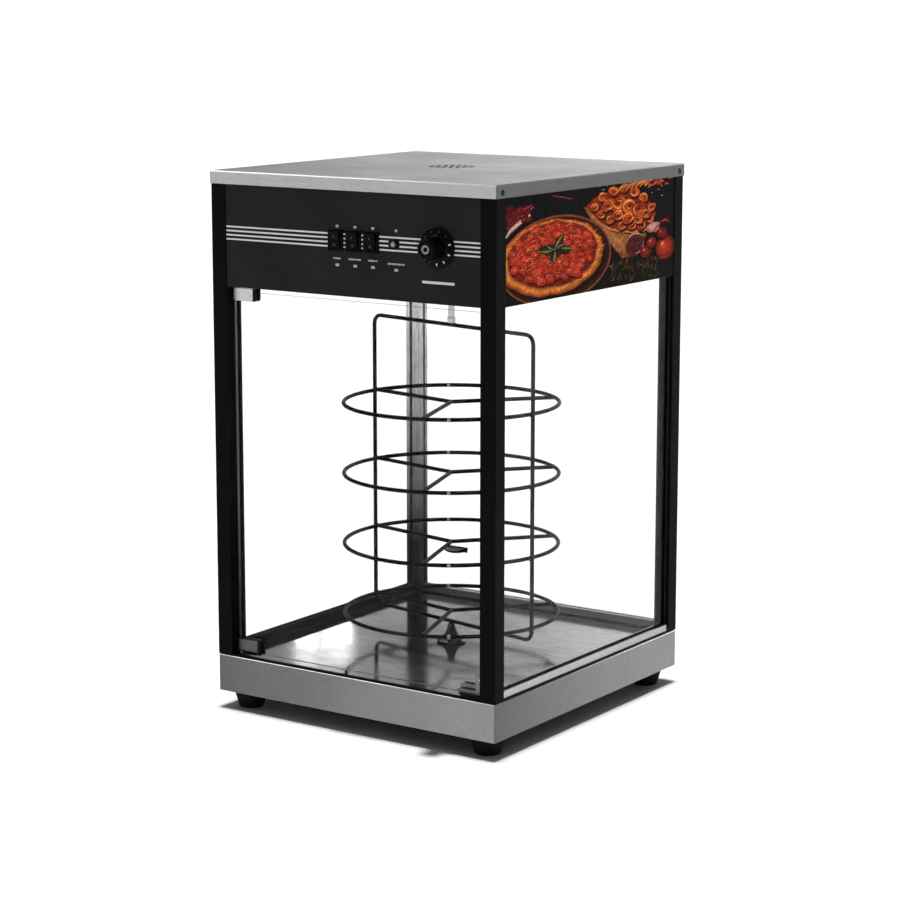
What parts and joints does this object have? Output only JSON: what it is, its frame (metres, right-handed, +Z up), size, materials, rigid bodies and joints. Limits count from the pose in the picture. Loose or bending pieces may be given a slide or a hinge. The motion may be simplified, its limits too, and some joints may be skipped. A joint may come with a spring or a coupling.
{
  "type": "rotating hot food display case",
  "caption": "Glass-sided heated display case with a turning tiered wire rack, a frameless pivot-hung glass door and a black control header.",
  "frame": {"origin": "centre of the bounding box on the table plane, under the foot soles", "axes": "+Z up, -Y towards the front with the control panel and the door, +X to the right seen from the front"},
  "size_m": [0.483, 0.5368, 0.78],
  "materials": {
    "stainless": "brushed",
    "galvanised": "plain sheet",
    "black_profile": "satin black",
    "charcoal_panel": "satin charcoal",
    "rail_aluminium": "satin",
    "pane_glass": "clear",
    "rubber_foot": "matt",
    "black_plastic": "semi-gloss",
    "black_wire": "black coated wire",
    "bright_fitting": "polished",
    "lens_plastic": "frosted",
    "bulb_glass": "clear",
    "cream_plastic": "plain",
    "heater_sheath": "heat-tinted"
  },
  "bodies": {
    "case": {"base_shell": "stainless", "bottom_plate": "galvanised", "cable_gland": "black_plastic", "ceiling_plate": "stainless", "control_panel": "charcoal_panel", "foot_front_left": "rubber_foot", "foot_front_right": "rubber_foot", "foot_rear_left": "rubber_foot", "foot_rear_right": "rubber_foot", "gear_motor": "galvanised", "glass_left": "pane_glass", "glass_rear": "pane_glass", "glass_right": "pane_glass", "header_left": "charcoal_panel", "header_rear": "charcoal_panel", "header_right": "charcoal_panel", "heating_element": "heater_sheath", "indicator_bezel": "black_plastic", "indicator_lens": "lens_plastic", "lamp_bulb": "bulb_glass", "lamp_holder": "cream_plastic", "magnetic_catch": "bright_fitting", "motor_bracket": "galvanised", "pivot_bush": "lens_plastic", "post_front_left": "black_profile", "post_front_right": "black_profile", "post_rear_left": "black_profile", "post_rear_right": "black_profile", "rail_bottom_left": "black_profile", "rail_bottom_rear": "rail_aluminium", "rail_bottom_right": "rail_aluminium", "switch_housing_light": "black_plastic", "switch_housing_power": "black_plastic", "switch_housing_rotate": "black_plastic", "terminal_block": "cream_plastic", "thermostat_body": "cream_plastic", "threshold_front": "black_profile", "top_cover": "stainless"},
    "rack": {"tier_ring_1": "black_wire", "tier_ring_2": "black_wire", "tier_ring_3": "black_wire", "tier_ring_4": "black_wire", "tier_spokes_1": "black_wire", "tier_spokes_2": "black_wire", "tier_spokes_3": "black_wire", "tier_spokes_4": "black_wire", "rack_hoop": "black_wire", "drive_hub": "black_plastic", "pivot_pin": "bright_fitting"},
    "door": {"door_glass": "pane_glass", "hinge_clamp_bottom": "bright_fitting", "hinge_clamp_top": "bright_fitting", "hinge_pin_bottom": "bright_fitting", "hinge_pin_top": "bright_fitting", "door_pull": "black_plastic", "strike_plate": "bright_fitting"},
    "knob": {"thermostat_knob": "black_plastic"},
    "power_switch": {"rocker_power": "black_plastic"},
    "light_switch": {"rocker_light": "black_plastic"},
    "rotate_switch": {"rocker_rotate": "black_plastic"}
  },
  "joints": [
    {"name": "rack_spin", "type": "hinge", "parent": "case", "child": "rack", "pos_m": [0, 0.0079, 0.1], "axis": [0, 0, 1], "continuous": true},
    {"name": "door_swing", "type": "hinge", "parent": "case", "child": "door", "pos_m": [-0.207, -0.2231, 0.35], "axis": [0, 0, -1], "range_deg": [0, 90]},
    {"name": "knob_turn", "type": "hinge", "parent": "case", "child": "knob", "pos_m": [0.1466, -0.2394, 0.693], "axis": [0, 1, 0], "range_deg": [0, 300]},
    {"name": "power_press", "type": "hinge", "parent": "case", "child": "power_switch", "pos_m": [-0.0224, -0.2378, 0.6944], "axis": [-1, 0, 0], "range_deg": [0, 18]},
    {"name": "light_press", "type": "hinge", "parent": "case", "child": "light_switch", "pos_m": [0.0078, -0.2378, 0.6944], "axis": [-1, 0, 0], "range_deg": [0, 18]},
    {"name": "rotate_press", "type": "hinge", "parent": "case", "child": "rotate_switch", "pos_m": [0.0377, -0.2378, 0.6944], "axis": [-1, 0, 0], "range_deg": [0, 18]}
  ]
}
